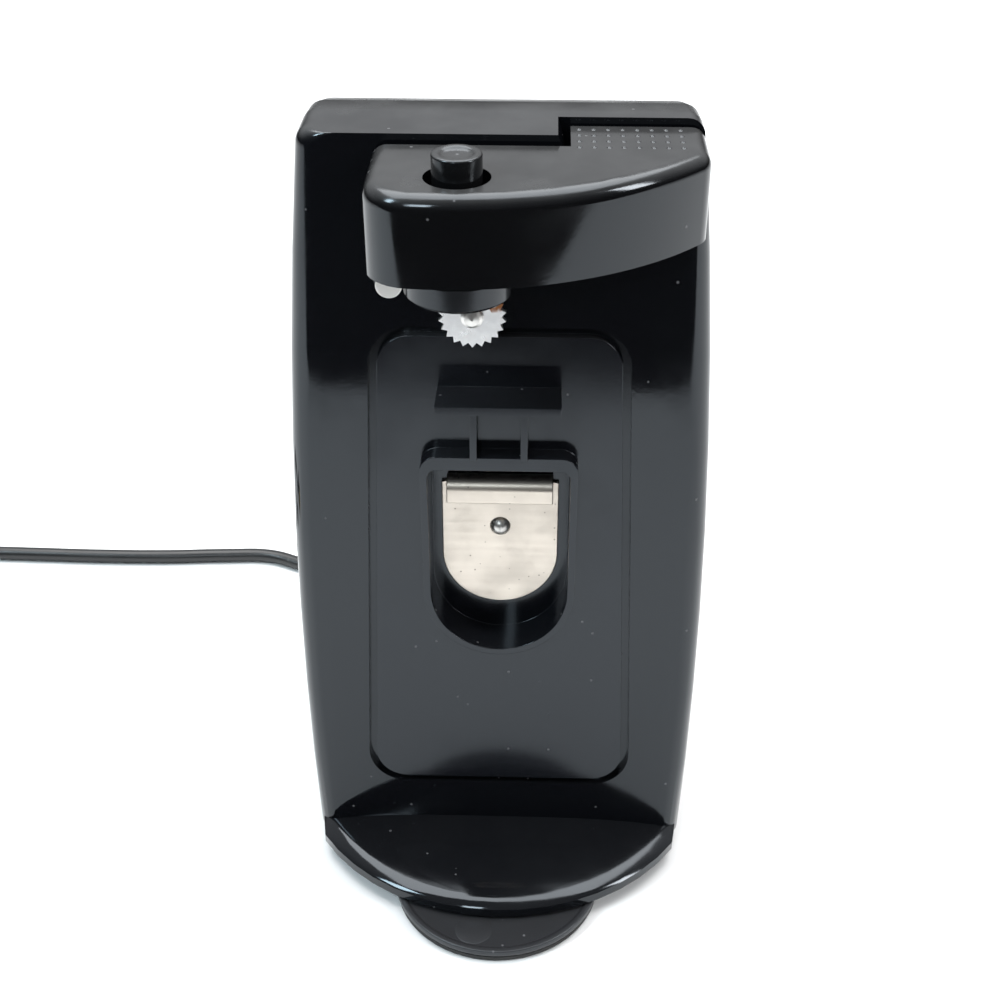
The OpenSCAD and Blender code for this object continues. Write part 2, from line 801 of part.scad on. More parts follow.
module field_coil() {
    color("#9c4a1f") difference() {
        block([-coil_w / 2, core_y - 5, core_low - 5], [coil_w / 2, core_back + 5, window_top - gap]);
        block([-far, core_y - gap, core_low - gap], [far, core_back + gap, limb_top + gap]);
    }
}

// Strap across one face of the motor's core, with two legs and a seat for the bushing
module motor_bracket(y_strap, y_leg0, y_leg1) {
    color("#a5a8ad") difference() {
        union() {
            block([-core_w / 2, y_strap, rotor_z - 7], [core_w / 2, y_strap + bracket_t, rotor_z + 7]);
            for (side = [-1, 1])
                block(
                    [side * (core_w / 2 - 3) - 3, y_leg0, rotor_z - 7],
                    [side * (core_w / 2 - 3) + 3, y_leg1, rotor_z + 5]
                );
        }
        bar(rotor_x, rotor_z, -far, far, 4.5 + fit);
        for (x = [-mount_x, mount_x]) bar(x, mount_top, -far, far, post_r);
    }
}

module front_bracket() {
    motor_bracket(core_y - bracket_gap - bracket_t, core_y - bracket_gap, core_y);
}

module rear_bracket() {
    motor_bracket(core_back + bracket_gap, core_back, core_back + bracket_gap);
}

module motor_bushings() {
    color("#b08d57") for (y = [bush_front, bush_rear]) difference() {
        bar(rotor_x, rotor_z, y, y + bush_t, 4.5);
        bar(rotor_x, rotor_z, -far, far, motor_shaft_r + fit);
    }
}

module motor_posts() {
    color("#a5a8ad") for (x = [-mount_x, mount_x], z = [mount_low, mount_top]) difference() {
        bar(x, z, chassis_back, core_y, 3);
        bar(x, z, -far, far, screw_r + fit);
    }
}

module motor_screws() {
    color("#b5b8bc") for (x = [-mount_x, mount_x], z = [mount_low, mount_top]) {
        bar(x, z, chassis_back + 4, core_back, screw_r);
        bar(x, z, core_back, core_back + 2.2, 2.9);
    }
}

module chassis_screws() {
    color("#b5b8bc") for (p = chassis_posts) {
        bar(p[0], p[1], chassis_y - 7, chassis_back, screw_r);
        bar(p[0], p[1], chassis_back, chassis_back + 2.2, 2.9);
    }
}

module cover_screws() {
    color("#b5b8bc") for (p = cover_posts) {
        bar(p[0], p[1], seam_y - 9, seam_y + 4, screw_r);
        bar(p[0], p[1], seam_y + 4, seam_y + 6.2, 2.9);
    }
}

module switch_body() {
    color("#2f3a46") difference() {
        block(
            [switch_x - switch_w / 2, switch_y - 3.6, switch_low],
            [switch_x + switch_w / 2, chassis_y, switch_top]
        );
        translate([switch_x, switch_y, switch_low + 2]) cylinder(r = 2 + fit, h = far);
    }
}

// Two insulated leads, cord to switch and cord to coil
module lead_wires() {
    coil_z = (limb_top + window_top) / 2;
    color("#6b2a20") {
        tube(smooth_path([
            [exit_x - 1.3, cord_in - 0.2, cord_exit_z], [exit_x - 2, cord_in - 5, cord_exit_z + 1],
            [-31, 46, 34], [-41, 40, 60], [-44, 32, rotor_z], [-39, 29, feed_z - 22],
            [-27, 28, feed_z + 4], [-4, 27, feed_z + 18], [14, 24, feed_z + 17],
            [switch_x - 2, chassis_back + 5, switch_top - 5], [switch_x, chassis_back + 0.3, switch_top - 5]
        ], 3), 1, 8);
        tube(smooth_path([
            [exit_x + 1.3, cord_in - 0.2, cord_exit_z], [exit_x + 1.8, cord_in - 4, cord_exit_z + 4],
            [-20.5, core_back + 3, 40], [-20, core_back + 3, coil_z - 8],
            [-coil_w / 2 - 0.3, core_back + 3, coil_z - 2]
        ], 3), 1, 8);
    }
}

module strain_relief() {
    color("#1a1b1e") translate([exit_x, 0, cord_exit_z]) rotate([-90, 0, 0]) rotate_extrude()
        polygon([
            [cord_r + fit, back_y - wall - 2], [cord_r + 5, back_y - wall - 2],
            [cord_r + 5, back_y - wall - fit], [cord_r + 2.2, back_y - wall - fit],
            [cord_r + 2.2, back_y + 6], [cord_r + 1, relief_end], [cord_r + fit, relief_end]
        ]);
}

// ---- lever and cutter ----

// Centre of a corner arc of radius r, on the line x, inside the lever's bow
function bow_corner(x, r) = [x, lever_y - sqrt(pow(lever_r - r, 2) - pow(lever_x - x, 2))];
function bow_heading(p) = 360 + atan2(p[1] - lever_y, p[0] - lever_x);

// The lever's plan: a rounded left corner, a wide bow, and a rounded right corner
function lever_plan(inset) = let(
    left = bow_corner(lever_left + lever_corner, lever_corner),
    right = bow_corner(lever_right - lever_end_r, lever_end_r)
) concat(
    [[lever_left + inset, pad_back]],
    [for (i = [0 : 7]) left + polar(lever_corner - inset, rise(180, bow_heading(left), i, 8))],
    [for (i = [0 : 19])
        [lever_x, lever_y] + polar(lever_r - inset, rise(bow_heading(left), bow_heading(right), i, 20))],
    [for (i = [0 : 6]) right + polar(lever_end_r - inset, rise(bow_heading(right), 360, i, 6))],
    [[lever_right - inset, pad_back]]
);

// The lever's solid form with its rounded top edge, drawn in by inset
module lever_form(inset, z_low) {
    edge = lever_round - inset;
    high = lever_top - inset;
    hull() {
        translate([0, 0, z_low]) linear_extrude(high - edge - z_low) polygon(lever_plan(inset));
        for (a = [15 : 15 : 90])
            translate([0, 0, high - edge + edge * sin(a) - sliver])
                linear_extrude(sliver) polygon(lever_plan(inset + edge * (1 - cos(a))));
    }
}

module lever() {
    w = lever_wall;
    color("#15161a") difference() {
        intersection() {
            lever_form(0, lever_low);
            union() {
                difference() {
                    block([-far, -far, lever_low], [far, lever_back, lever_top]);
                    difference() {
                        lever_form(w, lever_low - 1);
                        block([-far, lever_back - w, 0], [far, far, far]);
                    }
                }
                bar(pivot_x, pivot_z, lever_front, lever_back, pivot_r + 3);
                translate([cartridge_x, cartridge_y, collar_low])
                    cylinder(r = button_hole_r + 1.4, h = lever_top - 1 - collar_low);
                difference() {
                    block([pivot_x, lever_back - 1, pad_low], [far, pad_back, lever_top]);
                    bar(pivot_x, pivot_z, -far, far, pad_r);
                }
            }
        }
        bar(pivot_x, pivot_z, -24, far, pivot_r + fit);
        translate([cartridge_x, cartridge_y, cartridge_top]) cylinder(r = button_hole_r, h = far);
    }
}

module cutter_cartridge() {
    color("#17181b") difference() {
        union() {
            translate([cartridge_x, cartridge_y, 0]) rotate_extrude() polygon([
                [2.5 + fit, cartridge_low], [cartridge_r - 1, cartridge_low], [cartridge_r, cartridge_low + 1],
                [cartridge_r, cartridge_top], [cheek_r, cartridge_top], [cheek_r, cheek_top],
                [button_hole_r - fit, cheek_top], [button_hole_r - fit, neck_top],
                [button_r + gap, neck_top], [button_r + gap, spring_low], [2.5 + fit, spring_low]
            ]);
            difference() {
                block(
                    [feed_x - 4, axle_front, cartridge_low + 0.5], [feed_x + 4, axle_back + 0.8, cheek_top]
                );
                translate([cartridge_x, cartridge_y, 0]) cylinder(r = 2.5 + fit, h = far);
            }
        }
        block(
            [feed_x - cutter_r - 1, cutter_front - 0.6, 0],
            [feed_x + cutter_r + 1, cutter_back + 0.6, cutter_z + cutter_r + 0.6]
        );
        bar(feed_x, cutter_z, axle_front, axle_back, axle_r + fit);
    }
}

module cutter_axle() {
    color("#b5b8bc") bar(feed_x, cutter_z, axle_front, axle_back, axle_r);
}

module cutting_wheel() {
    mid = cutter_t / 2;
    color("#c9ccd0") translate([feed_x, cutter_back, cutter_z]) rotate([90, 0, 0]) rotate_extrude()
        polygon([
            [axle_r + fit, 0], [cutter_r - 2.2, 0], [cutter_r, mid - 0.05], [cutter_r, mid + 0.05],
            [cutter_r - 2.2, cutter_t], [axle_r + fit, cutter_t]
        ]);
}

module release_button() {
    color("#0f1013") translate([cartridge_x, cartridge_y, 0]) rotate_extrude() {
        high = lever_top + button_up;
        polygon([
            [0, cartridge_low + 3.6], [2.5, cartridge_low + 3.6], [2.5, button_low], [button_r, button_low],
            [button_r, high - 1.2], [button_r - 0.4, high - 0.3], [button_r - 1.2, high],
            [button_r - 2.4, high - 0.5], [0, high - 0.9]
        ]);
    }
}

// Compression spring under the release button, drawn as its rings
module button_spring() {
    rings = 4;
    pitch = (button_low - spring_low - 0.8) / (rings - 1);
    color("#a9acb0") translate([cartridge_x, cartridge_y, spring_low + 0.4])
        for (i = [0 : rings - 1]) translate([0, 0, i * pitch]) rotate_extrude()
            translate([4, 0]) circle(r = 0.3, $fn = 16);
}

module magnet_holder() {
    back = cutter_back + 4;
    inner = lever_left + lever_wall;
    color("#17181b") difference() {
        union() {
            block([inner + fit, back - 3.4, lever_low - 2], [magnet_x + 3.4, back, pivot_z - pivot_r - 3.2]);
            bar(magnet_x, lever_low - 7, back - 3.4, back, magnet_r + 0.6);
            block([magnet_x - 3.4, back - 3.4, lever_low - 7], [magnet_x + 3.4, back, lever_low - 1]);
        }
        translate([cartridge_x, cartridge_y, 0]) cylinder(r = cartridge_r + gap, h = far);
    }
}

module lid_magnet() {
    front = cutter_back + 0.6;
    color("#c2c4c6") bar(magnet_x, lever_low - 7, front - 3, front, magnet_r);
}

module switch_plunger() {
    color("#c8402e") translate([switch_x, switch_y, switch_low + 4.4])
        cylinder(r = 2, h = pad_low - gap - switch_low - 4.4);
}

// ---- feed and gears ----

module feed_wheel() {
    pitch = 360 / feed_teeth;
    root = feed_r - 1.25;
    color("#c4c6c8") translate([feed_x, 0, feed_z]) plate_y(feed_front, feed_back) difference() {
        polygon([
            for (k = [0 : feed_teeth - 1]) each [polar(feed_r, k * pitch - 90), polar(root, (k + 0.5) * pitch - 90)]
        ]);
        circle(r = 2 + fit);
    }
}

module feed_rivet() {
    color("#d0cfcc") translate([feed_x, feed_front, feed_z]) rotate([90, 0, 0]) rotate_extrude()
        polygon([
            [0, 0], [2.9, 0], [2.9, 0.5], [2.6, 1.1], [1.9, 1.6], [0, 1.9]
        ]);
}

module feed_shaft() {
    color("#b5b8bc") {
        bar(feed_x, feed_z, feed_back, wheel3_y + wheel3_t + 0.3, feed_shaft_r);
        bar(feed_x, feed_z, feed_front, feed_back, 2);
    }
}

module output_gear() {
    to_middle = heading(feed_x, feed_z, middle_x, middle_z);
    color("#d9d4c4") spur(
        feed_x, feed_z, wheel3_y, wheel3_y + wheel3_t, module3, wheel3_teeth, to_middle, feed_shaft_r + fit
    );
}

// Turn that puts a gap of the follower opposite a tooth of its driver
function meshed(teeth, x0, z0, x1, z1) = heading(x0, z0, x1, z1) + 180 / teeth;

module middle_gear() {
    turn_small = meshed(pinion_teeth, middle_x, middle_z, feed_x, feed_z);
    turn_large = heading(middle_x, middle_z, first_x, first_z);
    color("#e3dfd2") {
        spur(middle_x, middle_z, wheel3_y, wheel2_y, module3, pinion_teeth, turn_small, 2 + fit);
        spur(
            middle_x, middle_z, wheel2_y, wheel2_y + wheel2_t, module2, wheel2_teeth, turn_large, 2 + fit
        );
    }
}

module first_gear() {
    turn_small = meshed(pinion_teeth, first_x, first_z, middle_x, middle_z);
    turn_large = heading(first_x, first_z, rotor_x, rotor_z);
    color("#d9d4c4") {
        spur(first_x, first_z, wheel2_y, wheel1_y, module2, pinion_teeth, turn_small, 2 + fit);
        spur(first_x, first_z, wheel1_y, wheel1_y + wheel1_t, module1, wheel1_teeth, turn_large, 2 + fit);
    }
}

module motor_pinion() {
    turn = meshed(pinion_teeth, rotor_x, rotor_z, first_x, first_z);
    color("#c9ccd0") spur(
        rotor_x, rotor_z, wheel1_y - 0.3, wheel1_y + wheel1_t + 0.5, module1, pinion_teeth, turn,
        motor_shaft_r + fit
    );
}

module rotor() {
    color("#85878c") difference() {
        bar(rotor_x, rotor_z, core_y - 0.8, core_back + 0.8, rotor_r);
        bar(rotor_x, rotor_z, -far, far, motor_shaft_r + fit);
    }
}

module rotor_shaft() {
    color("#b5b8bc") bar(rotor_x, rotor_z, wheel1_y - 0.8, fan_y + fan_t + 0.3, motor_shaft_r);
}

module cooling_fan() {
    blades = 7;
    color("#3a3d42") difference() {
        union() {
            bar(rotor_x, rotor_z, fan_y, fan_y + fan_t, 6);
            for (k = [0 : blades - 1]) translate([rotor_x, 0, rotor_z]) rotate([0, k * 360 / blades, 0])
                block([0, fan_y, -0.7], [17, fan_y + fan_t - 0.4, 0.7]);
        }
        bar(rotor_x, rotor_z, -far, far, motor_shaft_r + fit);
    }
}

// ---- cord ----

module power_cord() {
    color("#141518") tube(smooth_path(route, 2), cord_r, 10);
}

module cord_coil() {
    color("#141518") translate([coil_at[0], coil_at[1], 0]) rotate_extrude()
        translate([coil_in, 0]) square([coil_out - coil_in, coil_h]);
}

module cord_tail() {
    color("#141518") tube(smooth_path(tail, 1), cord_r, 10);
}

module plug_body() {
    color("#141518") translate([plug_at[0], plug_at[1] - plug_l, 0]) {
        block([-plug_w / 2, 0, 0], [plug_w / 2, plug_l * 0.55, plug_z]);
        block([-plug_w / 2 + 4, plug_l * 0.5, 0], [plug_w / 2 - 4, plug_l, plug_z - 3]);
    }
}

module plug_blades() {
    color("#c9b26a") for (side = [-1, 1])
        translate([plug_at[0] + side * 6.35 - 0.75, plug_at[1] - plug_l - 17, 3])
            cube([1.5, 17, 6.3]);
}

front_housing();
rear_cover();
front_panel();
opener_plate();
opener_rivet();
base_plate();
foot_disc();
foot_pad();
rear_feet();
chassis_plate();
pivot_pin();
feed_bushing();
gear_pins();
pin_clips();
motor_core();
field_coil();
front_bracket();
rear_bracket();
motor_bushings();
motor_posts();
motor_screws();
chassis_screws();
cover_screws();
switch_body();
lead_wires();
strain_relief();
lever();
cutter_cartridge();
cutter_axle();
magnet_holder();
lid_magnet();
cutting_wheel();
release_button();
button_spring();
switch_plunger();
feed_wheel();
feed_rivet();
feed_shaft();
output_gear();
middle_gear();
first_gear();
rotor();
rotor_shaft();
motor_pinion();
cooling_fan();
power_cord();
cord_coil();
cord_tail();
plug_body();
plug_blades();
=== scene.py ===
# %% [markdown]
# # An electric can opener, finished in Blender
# The engineering model gives every part of the opener its true size and place.
# This lesson gives those parts their looks: soft moulded edges, glossy black plastic with a little
# dust, plated and brushed steel, rubber, and a mains cord that really lies on the table.
# We load the fixed frame first, because every position below is read from it.

# %% The frame
import json
import math

import bmesh
import bpy
from mathutils import Matrix, Vector


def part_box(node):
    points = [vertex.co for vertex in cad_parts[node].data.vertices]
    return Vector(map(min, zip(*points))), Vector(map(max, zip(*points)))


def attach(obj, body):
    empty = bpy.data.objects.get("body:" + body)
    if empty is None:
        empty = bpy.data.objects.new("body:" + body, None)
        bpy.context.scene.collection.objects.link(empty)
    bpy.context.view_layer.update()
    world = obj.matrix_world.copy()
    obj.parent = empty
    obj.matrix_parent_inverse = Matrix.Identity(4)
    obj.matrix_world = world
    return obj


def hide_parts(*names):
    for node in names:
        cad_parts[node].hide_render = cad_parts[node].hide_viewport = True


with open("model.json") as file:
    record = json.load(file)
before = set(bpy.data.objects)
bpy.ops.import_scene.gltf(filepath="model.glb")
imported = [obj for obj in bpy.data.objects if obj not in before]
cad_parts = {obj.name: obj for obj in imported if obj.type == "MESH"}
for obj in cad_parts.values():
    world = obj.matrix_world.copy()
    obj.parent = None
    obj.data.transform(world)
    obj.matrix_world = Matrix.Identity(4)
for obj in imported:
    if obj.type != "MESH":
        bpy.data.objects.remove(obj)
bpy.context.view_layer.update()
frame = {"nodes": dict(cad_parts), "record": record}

MM = 0.001
record = frame["record"]
print("nodes in the frame:", len(frame["nodes"]))


def body_of(node):
    for body, names in record["behaviour"]["bodies"].items():
        if node in names:
            return body
    raise KeyError(node)


def slot_of(node):
    return next(s["material_slot"] for s in record["subparts"] if s["node"] == node)


# %% [markdown]
# ## The camera
# The opener is seen from in front and above, from about half a metre away, so its top is a
# little larger than its foot. A short telephoto lens keeps that perspective gentle. We place the
# camera by its height and its distance, and turn it down towards the opener.

# %% The camera
view_height = 0.352
view_distance = 0.355
view_turn = math.radians(1.8)
view_pitch = math.radians(57.0)

camera_data = bpy.data.cameras.new("camera")
camera_data.lens = 54.0
camera_data.sensor_width = 36.0
camera = bpy.data.objects.new("camera", camera_data)
camera.location = (
    view_distance * math.sin(view_turn),
    -view_distance * math.cos(view_turn),
    view_height,
)
camera.rotation_euler = (view_pitch, 0.0, view_turn)
bpy.context.scene.collection.objects.link(camera)
bpy.context.scene.camera = camera
print("camera at", tuple(round(v, 3) for v in camera.location))


# %% [markdown]
# ## Helpers for pieces
# Every piece here is a mesh or curve at the origin, unturned and unscaled, whose place is in
# its own points. That way it follows its body when the lever lifts or the wheels turn. `finish_piece`
# does that bookkeeping: it links the object, says which body carries it, and hides the CAD parts it
# replaces.

# %% Helpers for pieces
def finish_piece(obj, body, slot, replaced=()):
    if obj.name not in bpy.context.scene.collection.all_objects:
        bpy.context.scene.collection.objects.link(obj)
    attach(obj, body)
    if replaced:
        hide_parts(*replaced)
    return obj


def mesh_piece(name, bm, body, slot, replaced=(), smooth_angle=35.0):
    mesh = bpy.data.meshes.new(name)
    bmesh.ops.recalc_face_normals(bm, faces=bm.faces[:])
    bm.to_mesh(mesh)
    bm.free()
    mesh.shade_smooth()
    mesh.set_sharp_from_angle(angle=math.radians(smooth_angle))
    obj = finish_piece(bpy.data.objects.new(name, mesh), body, slot, replaced)
    print(name, len(mesh.polygons), "faces")
    return obj


# %% [markdown]
# ## Moulded edges
# A plastic shell never has a knife edge: the mould leaves a small radius that catches the light.
# We could model each radius by hand, but the shells already have the right form, so we take a
# copy of the CAD form, merge its loose triangles into clean faces, and let a Bevel modifier round
# every real edge. Weighted normals keep the big faces flat, so that reflections stay calm.

# %% Moulded edges
weld_distance = 0.00002
flat_angle = math.radians(0.6)


def moulded_copy(node, radius_mm, segments=3, edge_angle=32.0, merge_faces=True):
    source = frame["nodes"][node]
    bm = bmesh.new()
    bm.from_mesh(source.data)
    bmesh.ops.remove_doubles(bm, verts=bm.verts[:], dist=weld_distance)
    if merge_faces:
        bmesh.ops.dissolve_limit(
            bm, angle_limit=flat_angle, verts=bm.verts[:], edges=bm.edges[:],
            use_dissolve_boundaries=False,
        )
    mesh = bpy.data.meshes.new(node + "_moulded")
    bm.to_mesh(mesh)
    bm.free()
    mesh.shade_smooth()
    obj = bpy.data.objects.new(node + "_moulded", mesh)
    finish_piece(obj, body_of(node), slot_of(node), (node,))
    bevel = obj.modifiers.new("edge radius", "BEVEL")
    bevel.width = radius_mm * MM
    bevel.segments = segments
    bevel.limit_method = "ANGLE"
    bevel.angle_limit = math.radians(edge_angle)
    bevel.miter_outer = "MITER_ARC"
    bevel.harden_normals = False
    weights = obj.modifiers.new("calm faces", "WEIGHTED_NORMAL")
    weights.keep_sharp = False
    weights.weight = 60
    print(obj.name, len(mesh.polygons), "faces before rounding")
    return obj


# %% [markdown]
# ## The cord
# The mains cord leaves the back of the opener through a strain relief, drops to the table and
# runs off to the left. What can't be seen is wound into a small coil of a little over two turns: about
# a turn and a half lies on the table and the rest climbs on top of it, with the plug in front. A curve
# with a round bevel is the natural way to make it: the route is a list of given points, and a
# loop works out the turns. Each point carries the cord's radius itself, with a bevel depth of one, so
# the curve's own box is right.

# %% The cord's route
cord_d = 5.2
cord_r = cord_d / 2
exit_x = -22.0
exit_z = 18.0
table_run = [
    (exit_x, 58, exit_z), (exit_x, 76, exit_z), (exit_x, 96, 17.8), (-25, 108, 14), (-33, 118.5, 8.6),
    (-46, 126, 4.8), (-62, 129, 3), (-79, 131.5, cord_r), (-97, 138.5, cord_r), (-115, 138.5, cord_r),
    (-138, 137, cord_r), (-165, 136.5, cord_r), (-192, 137, cord_r), (-220, 137.5, cord_r),
]
coil_centre = (-250.0, 107.0)
outer_turn = 6 * cord_d
inner_turn = 5 * cord_d
upper_turn = (outer_turn + inner_turn) / 2
upper_z = cord_r + 0.87 * cord_d
coil_exit = [(-278.6, 107, upper_z), (-278.4, 98, 7.7)]
tail_run = [
    (-278, 89, 7.4), (-278.2, 79, 5.4), (-278.6, 69, 3.4), (-279, 60, cord_r), (-279, 52, cord_r)
]
shrink_start, shrink_share = 0.7, 0.3
climb_start, climb_share = 0.5, 0.25
last_steps = 6


def eased(x):
    x = min(1.0, max(0.0, x))
    return x * x * (3 - 2 * x)


def coil_points(steps=24):
    points = []
    turns = [
        (outer_turn, inner_turn, steps), (inner_turn, upper_turn, steps),
        (upper_turn, upper_turn, last_steps),
    ]
    for number, (radius, following, count) in enumerate(turns):
        for i in range(count):
            part = i / steps
            r = radius + (following - radius) * eased((part - shrink_start) / shrink_share)
            climb = (0.0, eased((part - climb_start) / climb_share), 1.0)[number]
            z = cord_r + (upper_z - cord_r) * climb
            angle = math.radians(90 + 360 * part)
            points.append(
                (coil_centre[0] + r * math.cos(angle), coil_centre[1] + r * math.sin(angle), z)
            )
    return points


def metres(points):
    return [Vector(p) * MM for p in points]


def smooth_curve(name, points, radius, body, slot, replaced=()):
    data = bpy.data.curves.new(name, "CURVE")
    data.dimensions = "3D"
    data.bevel_depth = 1.0
    data.bevel_resolution = 5
    data.resolution_u = 6
    data.use_fill_caps = True
    spline = data.splines.new("BEZIER")
    spline.bezier_points.add(len(points) - 1)
    for knot, place in zip(spline.bezier_points, points):
        knot.co = place
        knot.radius = radius
        knot.handle_left_type = "AUTO"
        knot.handle_right_type = "AUTO"
    return finish_piece(bpy.data.objects.new(name, data), body, slot, replaced)


cord_line = metres(table_run + coil_points() + coil_exit + tail_run)
cord = smooth_curve(
    "mains_cord", cord_line, cord_r * MM, "housing", "cord_plastic",
    ("power_cord", "cord_coil", "cord_tail"),
)


# %% [markdown]
# ## Turned pieces
# Many parts of the opener are round: the release button, the foot's disc, the strain relief. A
# lathe makes such a part from half of its outline, and so does Spin: we lay the outline out as a chain
# of vertices, round its corners with a bevel and spin it once about the part's axis. The outline is
# given as radius and height, and `axis` turns the finished part to where it belongs.

# %% Turned pieces
def turned(outline_mm, rounding_mm=0.0, steps=96, rounding_steps=3):
    bm = bmesh.new()
    verts = [bm.verts.new((r * MM, 0.0, h * MM)) for r, h in outline_mm]
    for a, b in zip(verts, verts[1:]):
        bm.edges.new((a, b))
    if rounding_mm:
        bmesh.ops.bevel(
            bm, geom=verts[1:-1], offset=rounding_mm * MM, offset_type="OFFSET", segments=rounding_steps,
            profile=0.5, affect="VERTICES", material=-1, clamp_overlap=True,
        )
    bmesh.ops.spin(
        bm, geom=bm.verts[:] + bm.edges[:], cent=(0, 0, 0), axis=(0, 0, 1), angle=math.tau, steps=steps,
        use_merge=True,
    )
    bmesh.ops.remove_doubles(bm, verts=bm.verts[:], dist=0.000005)
    return bm


def placed(bm, centre, axis="Z"):
    turn = {"Z": Matrix(), "Y": Matrix.Rotation(-math.pi / 2, 4, "X")}
    bmesh.ops.transform(bm, matrix=Matrix.Translation(centre) @ turn[axis], verts=bm.verts[:])
    return bm


def middle(node):
    low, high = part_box(node)
    return (low + high) / 2


# %% [markdown]
# ## The release button
# The button on top of the lever frees the cutting head for washing. It is a plain cylinder with a
# softly rounded rim and a shallow dish for the fingertip, so a lathe outline says everything.

# %% The release button
low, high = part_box("release_button")
button_r = (high.x - low.x) / 2 / MM
button_top = high.z / MM
stem_low = low.z / MM
cap_height = 17
stem_r = 2.5
button_base = button_top - cap_height
button_outline = [
    (0, button_top - 1.1), (button_r - 2.6, button_top - 0.8), (button_r - 1.6, button_top),
    (button_r, button_top - 0.2), (button_r, button_base), (stem_r, button_base), (stem_r, stem_low),
    (0, stem_low),
]
button_middle = middle("release_button")
button = mesh_piece(
    "button_cap", placed(turned(button_outline, 0.55, 96, 4), (button_middle.x, button_middle.y, 0)),
    "button", slot_of("release_button"), ("release_button",)
)

# %% [markdown]
# ## The front foot
# The opener would tip forward under a heavy can, so a round disc reaches out under its apron. It
# has a raised rim, a shallow floor and a small round mark from its mould. The rubber ring
# below it stays as the engineering model has it.

# %% The front foot
low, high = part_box("foot_disc")
foot_centre = Vector((0.0, (low.y + (high.x - low.x) / 2), 0.0))
foot_r = (high.x - low.x) / 2 / MM
foot_z = low.z / MM
disc_height = 2.8
floor_depth = 0.6
foot_top = foot_z + disc_height
boss_top = high.z / MM
foot_outline = [
    (0, foot_z), (foot_r - 0.9, foot_z), (foot_r, foot_z + 0.9), (foot_r, foot_top),
    (foot_r - 1.6, foot_top), (foot_r - 2.2, foot_top - floor_depth), (0, foot_top - floor_depth),
]
foot = mesh_piece(
    "foot_plate", placed(turned(foot_outline, 0.35, 128, 3), foot_centre), "housing",
    slot_of("foot_disc"), ("foot_disc",)
)
mark_spot = Vector((-6.2, -22.5, 0))
mark_outline = [
    (0, foot_top - 0.9), (0, foot_top - 0.52), (5.2, foot_top - 0.52), (5.6, foot_top - 0.62),
    (5.6, foot_top - 0.9), (0, foot_top - 0.9),
]
mark = mesh_piece(
    "foot_mould_mark", placed(turned(mark_outline, 0.0, 64), foot_centre + mark_spot * MM),
    "housing", slot_of("foot_disc")
)
neck_r = 14
neck_low = foot_top - 0.7
neck_spot = Vector((0, 8, 0))
neck_outline = [(0, neck_low), (neck_r, neck_low), (neck_r, boss_top), (0, boss_top)]
neck = mesh_piece(
    "foot_neck", placed(turned(neck_outline, 0.2, 64), foot_centre + neck_spot * MM),
    "housing", slot_of("foot_disc")
)

# %% [markdown]
# ## The strain relief
# Where the cord leaves the cover, a soft tapered sleeve keeps it from kinking. Real ones are cut
# with rings so that they bend evenly, so the lathe outline steps in and out along its length.

# %% The strain relief
low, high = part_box("strain_relief")
relief_start = low.y / MM
relief_end = high.y / MM
cover_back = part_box("rear_cover")[1].y / MM
flange_wall = 5
sleeve_wall = 2.2
sleeve_taper = 1.2
flange_end = cover_back - 2.5
relief_outline = [
    (cord_r, relief_start), (cord_r + flange_wall, relief_start), (cord_r + flange_wall, flange_end),
    (cord_r + sleeve_wall, flange_end), (cord_r + sleeve_wall, cover_back + 2),
]
ring_pitch = 3.2
ring_count = 7
for i in range(ring_count):
    start = cover_back + 3 + i * ring_pitch
    outer = cord_r + sleeve_wall - sleeve_taper * i / ring_count
    relief_outline += [(outer - 0.7, start), (outer - 0.7, start + 0.9), (outer, start + 1.0),
                       (outer, start + ring_pitch - 0.1)]
relief_outline += [(cord_r + 0.9, relief_end), (cord_r, relief_end)]
relief = mesh_piece(
    "relief_sleeve", placed(turned(relief_outline, 0.15, 64, 2), (exit_x * MM, 0, exit_z * MM), "Y"),
    "housing", slot_of("strain_relief"), ("strain_relief",)
)

# %% [markdown]
# ## The plug
# A moulded plug is a flat block that narrows towards the cord, with finger grips on both sides.
# We start from a cube, pull its back face in, and round it with Bevel. The two blades stay from the
# engineering model.

# %% The plug
low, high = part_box("plug_body")
plug_size = high - low
bm = bmesh.new()
bmesh.ops.create_cube(bm, size=1.0)
bmesh.ops.scale(bm, vec=plug_size, verts=bm.verts[:])
bmesh.ops.translate(bm, vec=(low + high) / 2, verts=bm.verts[:])
grip_cuts = (0.16, 0.28, 0.34, 0.46, 0.52, 0.64, 0.7)
for share in grip_cuts:
    cut = low.y + plug_size.y * share
    bmesh.ops.bisect_plane(bm, geom=bm.verts[:] + bm.edges[:] + bm.faces[:], plane_co=(0, cut, 0),
                           plane_no=(0, 1, 0), dist=1e-7)
centre_x = (low.x + high.x) / 2
for v in bm.verts:
    share = (v.co.y - low.y) / plug_size.y
    squeeze = 1.0 - 0.5 * eased((share - 0.5) / 0.5)
    if 0.2 < share < 0.6:
        squeeze -= 0.06
    v.co.x = centre_x + (v.co.x - centre_x) * squeeze
    v.co.z = low.z + (v.co.z - low.z) * (1.0 - 0.35 * eased((share - 0.6) / 0.4))
bmesh.ops.bevel(bm, geom=bm.edges[:], offset=1.3 * MM, offset_type="OFFSET", segments=3, profile=0.5,
                affect="EDGES", material=-1, clamp_overlap=True)
plug = mesh_piece("plug_moulding", bm, "housing", slot_of("plug_body"), ("plug_body",))

# %% [markdown]
# ## The moulded shells
# The big shells, the lever, the panel and the small steel parts take the moulded edges from
# above. The radius follows the part, in millimetres: most of one on the front shell and the panel,
# about a third on small steel, and only a tenth on the stamped wheels. The rear cover and the base
# have rows of vents, so they keep their small faces, because one big face can't hold that many
# openings.

